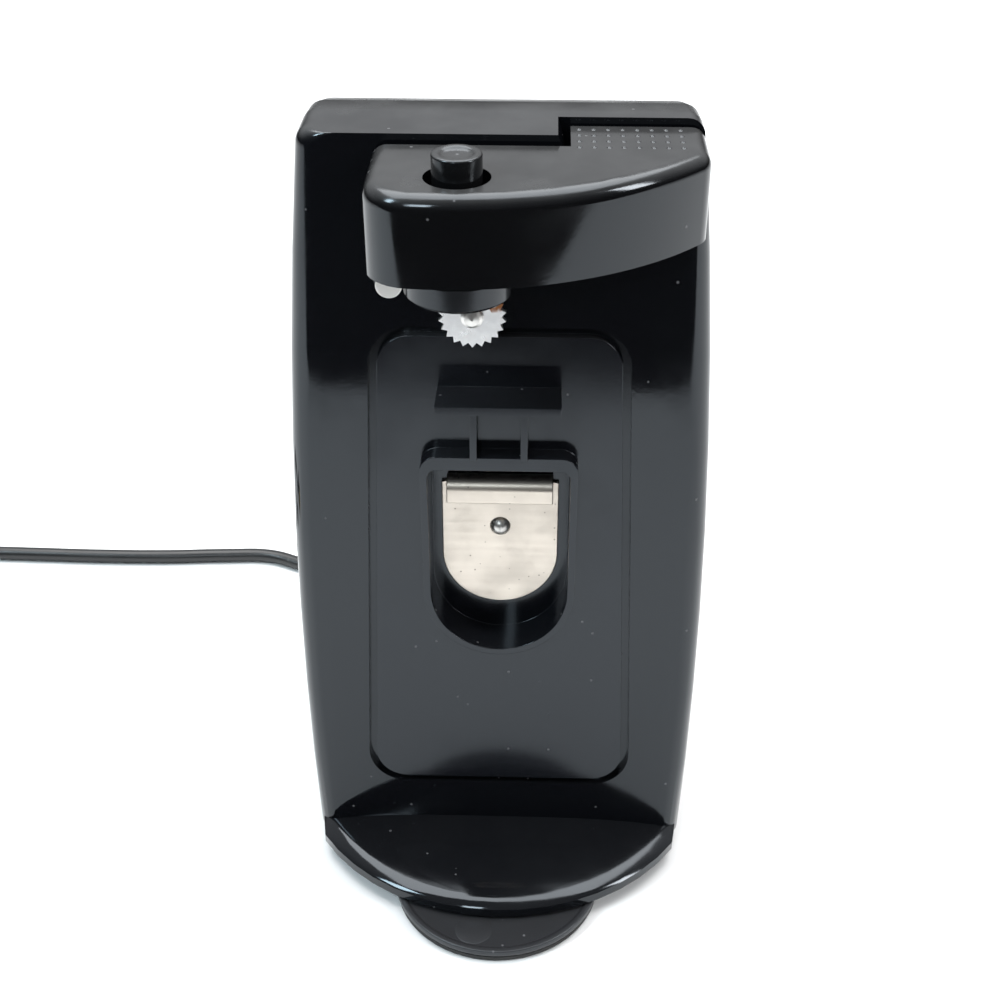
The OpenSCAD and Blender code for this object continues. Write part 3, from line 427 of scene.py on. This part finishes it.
# %% The moulded shells
edge_radii = {
    "front_housing": 0.7, "rear_cover": 0.4, "front_panel": 0.8, "opener_plate": 0.3,
    "cutter_cartridge": 0.4, "feed_wheel": 0.12, "cutting_wheel": 0.1, "motor_core": 0.3, "field_coil": 3.0,
    "base_plate": 0.4, "chassis_plate": 0.2, "switch_body": 0.5, "cooling_fan": 0.2, "foot_pad": 0.3,
    "rear_feet": 0.5, "magnet_holder": 0.3, "lid_magnet": 0.3, "plug_blades": 0.25, "cover_screws": 0.35,
}
slotted = ("rear_cover", "base_plate")
moulded = {
    node: moulded_copy(node, radius, merge_faces=node not in slotted)
    for node, radius in edge_radii.items()
}

# %% [markdown]
# ## The lever and its thumb pad
# The thumb pad has rows of small dimples so that a greasy thumb doesn't slip. They are too small
# for a mould radius of their own, so we press 32 little spheres into the lever with one Boolean, after its
# edges are rounded, and keep the result.

# %% The lever and its thumb pad
lever_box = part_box("lever")
lever = moulded_copy("lever", 1.0, 4)
dots = bmesh.new()
pad_columns = 8
pad_rows = 4
column_pitch = 0.0036
row_pitch = 0.0042
dimple_r = 0.0009
dimple_lift = 0.00045
pad_top = lever_box[1].z + dimple_lift
pad_right = lever_box[1].x - 0.0068
pad_back = lever_box[1].y - 0.0026
for column in range(pad_columns):
    for row in range(pad_rows):
        spot = Vector((pad_right - column * column_pitch, pad_back - row * row_pitch, pad_top))
        bmesh.ops.create_icosphere(
            dots, subdivisions=2, radius=dimple_r, matrix=Matrix.Translation(spot)
        )
dots_mesh = bpy.data.meshes.new("dimple_tool")
dots.to_mesh(dots_mesh)
dots.free()
dimple_tool = bpy.data.objects.new("dimple_tool", dots_mesh)
bpy.context.scene.collection.objects.link(dimple_tool)
press = lever.modifiers.new("dimples", "BOOLEAN")
press.operation = "DIFFERENCE"
press.solver = "EXACT"
press.object = dimple_tool
after_bevel = 1
lever.modifiers.move(len(lever.modifiers) - 1, after_bevel)
pressed = bpy.data.meshes.new_from_object(lever.evaluated_get(bpy.context.evaluated_depsgraph_get()))
lever.modifiers.clear()
lever.data = pressed
bpy.data.objects.remove(dimple_tool)
print("lever with dimples:", len(pressed.polygons), "faces")

# %% [markdown]
# ## Writing shader maths as Python
# A procedural material is a little formula: specks where a noise is high, dust where a face looks
# up. Placing dozens of Math nodes by hand hides that formula, so we wrap a node socket in a
# small class whose operators add the Math nodes for us. `Shader.node` adds any other node.

# %% Writing shader maths as Python
class Signal:
    def __init__(self, shader, socket):
        self.shader = shader
        self.socket = socket

    def math(self, operation, *others):
        values = dict(enumerate((self,) + others))
        return self.shader.node("ShaderNodeMath", {"operation": operation}, values)

    def __add__(self, other):
        return self.math("ADD", other)

    def __sub__(self, other):
        return self.math("SUBTRACT", other)

    def __mul__(self, other):
        return self.math("MULTIPLY", other)

    def __rsub__(self, other):
        return (self * -1.0) + other

    def __gt__(self, other):
        return self.math("GREATER_THAN", other)

    __radd__ = __add__
    __rmul__ = __mul__

    def between(self, low, high):
        return self.shader.node(
            "ShaderNodeMapRange", {"interpolation_type": "SMOOTHSTEP"},
            {"Value": self, "From Min": low, "From Max": high}
        )


class Shader:
    def __init__(self, name):
        self.material = bpy.data.materials.new(name)
        self.material.use_nodes = True
        self.tree = self.material.node_tree
        self.surface = self.tree.nodes["Principled BSDF"]

    def node(self, kind, settings=None, inputs=None, output=0):
        made = self.tree.nodes.new(kind)
        for key, value in (settings or {}).items():
            setattr(made, key, value)
        self.feed(made, inputs or {})
        return Signal(self, made.outputs[output])

    def feed(self, made, inputs):
        for key, value in inputs.items():
            if isinstance(value, Signal):
                self.tree.links.new(value.socket, made.inputs[key])
            else:
                made.inputs[key].default_value = value

    def principled(self, **inputs):
        named = {key.replace("_", " "): value for key, value in inputs.items()}
        self.feed(self.surface, named)
        return self.material

    def place(self):
        return self.node("ShaderNodeTexCoord", output="Object")

    def stretched(self, vector, scale):
        return self.node("ShaderNodeVectorMath", {"operation": "MULTIPLY"}, {0: vector, 1: scale})

    def axis(self, vector, name):
        made = self.tree.nodes.new("ShaderNodeSeparateXYZ")
        self.tree.links.new(vector.socket, made.inputs[0])
        return Signal(self, made.outputs[name])

    def noise(self, vector, scale, detail=3.0, roughness=0.5):
        return self.node(
            "ShaderNodeTexNoise", {},
            {"Vector": vector, "Scale": scale, "Detail": detail, "Roughness": roughness}
        )

    def specks(self, vector, scale, size, keep):
        cells = self.tree.nodes.new("ShaderNodeTexVoronoi")
        self.feed(cells, {"Vector": vector, "Scale": scale})
        near = Signal(self, cells.outputs["Distance"]).between(size, size * 0.6)
        lucky = self.axis(Signal(self, cells.outputs["Color"]), "X") > keep
        return near * lucky

    def facing_up(self):
        return self.axis(self.node("ShaderNodeNewGeometry", output="Normal"), "Z")

    def mixed(self, factor, first, second):
        colour_a, colour_b, colour_out = 6, 7, 2
        return self.node(
            "ShaderNodeMix", {"data_type": "RGBA"}, {0: factor, colour_a: first, colour_b: second},
            output=colour_out
        )

    def bump(self, height, strength, distance):
        return self.node(
            "ShaderNodeBump", {}, {"Height": height, "Strength": strength, "Distance": distance}
        )


def rgb(r, g, b):
    return (r, g, b, 1.0)


# %% [markdown]
# ## Glossy black plastic
# Moulded black plastic is nearly a mirror for pale things around it, but a used one is never clean.
# Wide smears change how sharp the reflections are, fine dust settles on the faces that look up, and
# single specks and a few hairline scratches break the gloss. The paler film on upward faces is strongest
# near the top of the opener and fades out further down. All of these act on colour, roughness and a faint
# bump.

# %% Glossy black plastic
def black_plastic(name, base, rough, dust, speck_density, grain=0.0):
    s = Shader(name)
    here = s.place()
    smears = s.noise(here, 22.0, 4.0, 0.6).between(0.42, 0.72)
    fine = s.noise(here, 900.0, 2.0, 0.6)
    up = s.facing_up().between(0.35, 0.95)
    specks = s.specks(here, 330.0, 0.16, 1.0 - speck_density)
    big_specks = s.specks(here, 120.0, 0.07, 1.0 - speck_density * 0.6)
    hair = s.noise(s.stretched(here, (60.0, 60.0, 900.0)), 1.0, 1.0).between(0.74, 0.8)
    # the paler film grows from 0.15 m up to 0.21 m in height and keeps a tenth of its strength lower down
    height_share = s.axis(here, "Z").between(0.15, 0.21) * 0.9 + 0.1
    patches = s.noise(here, 60.0, 5.0, 0.65).between(0.25, 0.8)
    film = up * height_share * dust * (patches * 0.5 + 0.6)
    light = rgb(*(min(1.0, c * 0.6 + 0.085) for c in base))
    colour = s.mixed(film, rgb(*base), light)
    colour = s.mixed((specks + big_specks).math("MINIMUM", 1.0) * 0.5, colour, rgb(0.16, 0.16, 0.165))
    roughness = smears * 0.1 + film * 0.35 + specks * 0.3 + hair * 0.04 + rough
    height = fine * (0.35 + grain) + smears * 0.25 + specks * 0.6
    normal = s.bump(height, 0.05 + grain * 0.3, 0.0002)
    return s.principled(
        Base_Color=colour, Roughness=roughness, Normal=normal, IOR=1.5, Specular_Tint=rgb(0.86, 0.93, 1.0)
    )


# %% [markdown]
# ## Moulded matte plastic and rubber
# The foot, the base and the small inner parts are not polished. Their mould is spark-eroded, which
# leaves a fine even grain, and rubber adds a pale bloom of dust in soft random patches.

# %% Moulded matte plastic and rubber
def matte_plastic(name, base, rough, dusty=0.3, grain=1200.0):
    s = Shader(name)
    here = s.place()
    cloud = s.noise(here, 70.0, 4.0, 0.6).between(0.35, 0.75)
    pores = s.noise(here, grain, 2.0, 0.7)
    specks = s.specks(here, 260.0, 0.2, 0.8)
    pale = rgb(*(min(1.0, c * 0.9 + 0.05) for c in base))
    colour = s.mixed(cloud * dusty, rgb(*base), pale)
    colour = s.mixed(specks * dusty, colour, rgb(0.2, 0.2, 0.2))
    roughness = cloud * 0.12 + pores * 0.1 + (rough - 0.1)
    return s.principled(Base_Color=colour, Roughness=roughness, Normal=s.bump(pores, 0.25, 0.0002))


# %% [markdown]
# ## Steel, plated and brushed
# Sheet steel shows the lines of its rolling: a noise stretched hard along one direction gives them.
# The bottle opener is nickel plated, warmer and softer, with tiny pits. A small amount of cloudiness
# keeps large faces from looking like a perfect mirror.

# %% Steel, plated and brushed
def steel(name, base, rough, grain_axis="X", lines=0.08, pits=0.0):
    s = Shader(name)
    here = s.place()
    along, across = 25.0, 700.0
    stretch = tuple(along if name == grain_axis else across for name in "XYZ")
    rolled = s.noise(s.stretched(here, stretch), 1.0, 3.0, 0.6)
    cloud = s.noise(here, 90.0, 4.0, 0.55).between(0.35, 0.7)
    pit = s.specks(here, 700.0, 0.22, 0.86)
    dull = rgb(*(c * 0.82 for c in base))
    colour = s.mixed(cloud * 0.5 + rolled * 0.3, rgb(*base), dull)
    colour = s.mixed(pit * pits, colour, rgb(*(c * 0.45 for c in base)))
    roughness = rolled * lines + cloud * 0.08 + pit * pits * 0.2 + rough
    normal = s.bump(rolled - pit * pits, 0.06, 0.0002)
    return s.principled(Base_Color=colour, Roughness=roughness, Normal=normal, Metallic=1.0)


# %% [markdown]
# ## The feed wheel's steel
# The toothed wheel grips the rim of every can, and a little rust starts where food and water
# stay, between its teeth on one side. We find that side with a soft ball of influence and let a noise
# eat into the clean steel there.

# %% The feed wheel's steel
def feed_steel(name):
    s = Shader(name)
    here = s.place()
    spot = middle("feed_wheel") + Vector((0.0058, 0.0, 0.0042))
    reach = s.node(
        "ShaderNodeVectorMath", {"operation": "DISTANCE"}, {0: here, 1: tuple(spot)}, output="Value"
    )
    ball = reach.between(0.0052, 0.001)
    eaten = (ball + s.noise(here, 900.0, 4.0, 0.6) * 0.9).between(0.95, 1.25)
    turned_lines = s.noise(s.stretched(here, (500.0, 500.0, 500.0)), 1.0, 3.0, 0.6)
    bright = s.mixed(turned_lines, rgb(0.78, 0.78, 0.78), rgb(0.55, 0.55, 0.56))
    colour = s.mixed(eaten, bright, rgb(0.3, 0.11, 0.03))
    roughness = turned_lines * 0.15 + eaten * 0.45 + 0.22
    return s.principled(
        Base_Color=colour, Roughness=roughness, Metallic=1.0 - eaten * 0.8,
        Normal=s.bump(eaten + turned_lines * 0.4, 0.12, 0.0003)
    )


# %% [markdown]
# ## The motor's own materials
# The core and the rotor are stacks of thin steel sheets, so fine dark lines cross their edges. The coil
# is copper wire under varnish, wound round and round its limb. Repeating the Object coordinates at a
# fine pitch gives both.

# %% The motor's own materials
def laminated(name, base):
    s = Shader(name)
    here = s.place()
    sheets = s.axis(here, "Y") * 1400.0
    line = sheets.math("FRACT").math("SUBTRACT", 0.5).math("ABSOLUTE").between(0.36, 0.48)
    stain = s.noise(here, 120.0, 4.0, 0.6)
    colour = s.mixed(line * 0.7, rgb(*base), rgb(0.05, 0.05, 0.055))
    return s.principled(
        Base_Color=colour, Roughness=stain * 0.3 + 0.3, Metallic=0.8,
        Normal=s.bump(1.0 - line, 0.2, 0.0003)
    )


def wound_wire(name, base):
    s = Shader(name)
    here = s.place()
    turns = (s.axis(here, "X") * 1700.0).math("FRACT").math("SUBTRACT", 0.5).math("ABSOLUTE")
    strand = s.noise(here, 200.0, 3.0, 0.5)
    colour = s.mixed(turns * 1.4 + strand * 0.2, rgb(*base), rgb(0.09, 0.025, 0.01))
    return s.principled(
        Base_Color=colour, Roughness=strand * 0.15 + 0.2, Metallic=0.6,
        Normal=s.bump(0.5 - turns, 0.5, 0.0004)
    )


# %% [markdown]
# ## One finish for every slot
# The record names a material slot for each part. We make one finish per slot, then give it to the
# engineering parts and to our own pieces alike, so nothing is left in plain grey.

# %% One finish for every slot
finishes = {
    "housing_plastic": black_plastic("housing_gloss", (0.0035, 0.0038, 0.005), 0.06, 0.45, 0.05),
    "cover_plastic": black_plastic("cover_gloss", (0.004, 0.0042, 0.005), 0.09, 0.5, 0.05),
    "panel_plastic": black_plastic("panel_satin", (0.005, 0.0055, 0.0075), 0.14, 0.4, 0.1),
    "lever_plastic": black_plastic("lever_gloss", (0.0035, 0.0035, 0.004), 0.05, 0.45, 0.06),
    "cartridge_plastic": black_plastic("cartridge_satin", (0.006, 0.006, 0.007), 0.15, 0.2, 0.08),
    "button_plastic": black_plastic("button_gloss", (0.005, 0.005, 0.0055), 0.12, 0.35, 0.05),
    "cord_plastic": matte_plastic("cord_vinyl", (0.012, 0.012, 0.013), 0.36, 0.12, 1500.0),
    "base_plastic": matte_plastic("base_grain", (0.018, 0.018, 0.02), 0.5),
    "foot_plastic": black_plastic("foot_dusty", (0.02, 0.02, 0.022), 0.3, 0.75, 0.3, 0.2),
    "foot_rubber": matte_plastic("foot_rubber_skin", (0.022, 0.022, 0.022), 0.75, 0.4, 1600.0),
    "switch_plastic": matte_plastic("switch_case", (0.05, 0.07, 0.1), 0.45, 0.1),
    "lead_plastic": matte_plastic("lead_insulation", (0.25, 0.03, 0.02), 0.4, 0.1),
    "plunger_plastic": matte_plastic("plunger_red", (0.5, 0.05, 0.03), 0.35, 0.1),
    "fan_plastic": matte_plastic("fan_grey", (0.05, 0.055, 0.06), 0.5, 0.3),
    "gear_plastic": matte_plastic("gear_nylon", (0.62, 0.58, 0.46), 0.42, 0.15, 900.0),
    "opener_steel": steel("opener_nickel", (0.66, 0.6, 0.53), 0.27, "X", 0.12, 0.8),
    "rivet_steel": steel("rivet_steel", (0.62, 0.61, 0.59), 0.26, "Z", 0.1, 0.3),
    "chassis_steel": steel("chassis_zinc", (0.56, 0.57, 0.58), 0.38, "Z", 0.12, 0.2),
    "pin_steel": steel("pin_ground", (0.66, 0.66, 0.67), 0.2, "Y", 0.1),
    "bracket_steel": steel("bracket_zinc", (0.6, 0.6, 0.61), 0.34, "X", 0.1, 0.2),
    "screw_steel": steel("screw_zinc", (0.6, 0.6, 0.6), 0.32, "Y", 0.1, 0.2),
    "cutter_steel": steel("cutter_ground", (0.7, 0.7, 0.71), 0.18, "X", 0.1, 0.2),
    "spring_steel": steel("spring_wire", (0.5, 0.5, 0.51), 0.3, "Z", 0.1),
    "magnet_plating": steel("magnet_nickel", (0.68, 0.67, 0.65), 0.28, "X", 0.08, 0.6),
    "bushing_bronze": steel("bushing_bronze", (0.6, 0.38, 0.16), 0.36, "Y", 0.12, 0.5),
    "plug_brass": steel("plug_brass", (0.78, 0.6, 0.28), 0.26, "Y", 0.1, 0.2),
    "feed_steel": feed_steel("feed_wheel_steel"),
    "core_steel": laminated("core_sheets", (0.3, 0.31, 0.33)),
    "rotor_steel": laminated("rotor_sheets", (0.36, 0.36, 0.37)),
    "coil_wire": wound_wire("coil_copper", (0.5, 0.16, 0.05)),
}


def dress(obj, slot):
    obj.data.materials.clear()
    obj.data.materials.append(finishes[slot])


for node, obj in frame["nodes"].items():
    dress(obj, slot_of(node))
for node, obj in moulded.items():
    dress(obj, slot_of(node))
own_pieces = {
    "lever": [lever], "release_button": [button], "foot_disc": [foot, mark, neck],
    "strain_relief": [relief], "plug_body": [plug], "power_cord": [cord],
}
for node, objs in own_pieces.items():
    for obj in objs:
        dress(obj, slot_of(node))
print("finishes:", len(finishes))

# %% [markdown]
# ## The studio
# Glossy black shows what stands around it, so the light is built from large soft shapes: a pale
# table, a big panel overhead, a window on each side and one in front, and a dim room. The table ends
# a little in front
# of the opener, as a real one would, so the upper part of the leaning front reflects the dark room and
# the lower part the pale table. The room itself is dark in front and grows paler high up behind.

# %% The studio
def flat_sheet(name, low, high, height, colour, rough):
    bm = bmesh.new()
    bmesh.ops.create_grid(bm, x_segments=1, y_segments=1, size=1.0)
    size = ((high[0] - low[0]) / 2, (high[1] - low[1]) / 2, 1.0)
    centre = ((high[0] + low[0]) / 2, (high[1] + low[1]) / 2, height)
    bmesh.ops.scale(bm, vec=size, verts=bm.verts[:])
    bmesh.ops.translate(bm, vec=centre, verts=bm.verts[:])
    mesh = bpy.data.meshes.new(name)
    bm.to_mesh(mesh)
    bm.free()
    obj = bpy.data.objects.new(name, mesh)
    bpy.context.scene.collection.objects.link(obj)
    s = Shader(name + "_finish")
    obj.data.materials.append(
        s.principled(Base_Color=rgb(*colour), Roughness=rough, Specular_IOR_Level=0.2)
    )


flat_sheet("table", (-3.0, -0.4), (3.0, 5.0), -0.0002, (0.86, 0.86, 0.86), 0.8)


def softbox(name, place, aim, size, watts, colour=(1.0, 1.0, 1.0)):
    data = bpy.data.lights.new(name, "AREA")
    data.shape = "RECTANGLE"
    data.size, data.size_y = size
    data.energy = watts
    data.color = colour
    obj = bpy.data.objects.new(name, data)
    obj.location = place
    obj.rotation_euler = (Vector(aim) - Vector(place)).to_track_quat("-Z", "Y").to_euler()
    bpy.context.scene.collection.objects.link(obj)


aim = (0.0, 0.0, 0.1)
softbox("overhead", (0.0, 0.35, 1.5), aim, (1.8, 1.4), 44.0)
softbox("left_window", (-0.9, -0.5, 1.1), aim, (0.3, 0.45), 9.0, (0.75, 0.92, 1.0))
softbox("right_window", (1.0, -0.35, 0.75), aim, (0.22, 0.45), 6.0)
softbox("front_window", (-0.3, -1.2, 1.0), aim, (0.22, 0.3), 3.0, (0.85, 0.95, 1.0))


# %% [markdown]
# ## The room around the table
# The world's colour can depend on the direction of a ray. Its height makes the ceiling paler than the
# floor, and its Y keeps the side in front of the opener darker than the wall behind it.

# %% The room around the table
class Room(Shader):
    def __init__(self, name):
        self.world = bpy.data.worlds.new(name)
        self.world.use_nodes = True
        self.tree = self.world.node_tree
        self.surface = self.tree.nodes["Background"]


room = Room("room")
ray = room.node("ShaderNodeTexCoord", output="Generated")
upward = room.axis(ray, "Z").between(-0.02, 0.4)
behind = room.axis(ray, "Y").between(-0.3, 0.5)
glow = upward * (behind * 0.75 + 0.25) * 0.6 + 0.035
room.feed(room.surface, {"Color": rgb(0.97, 0.98, 1.0), "Strength": glow})
bpy.context.scene.world = room.world
bpy.context.scene.view_settings.view_transform = "Standard"
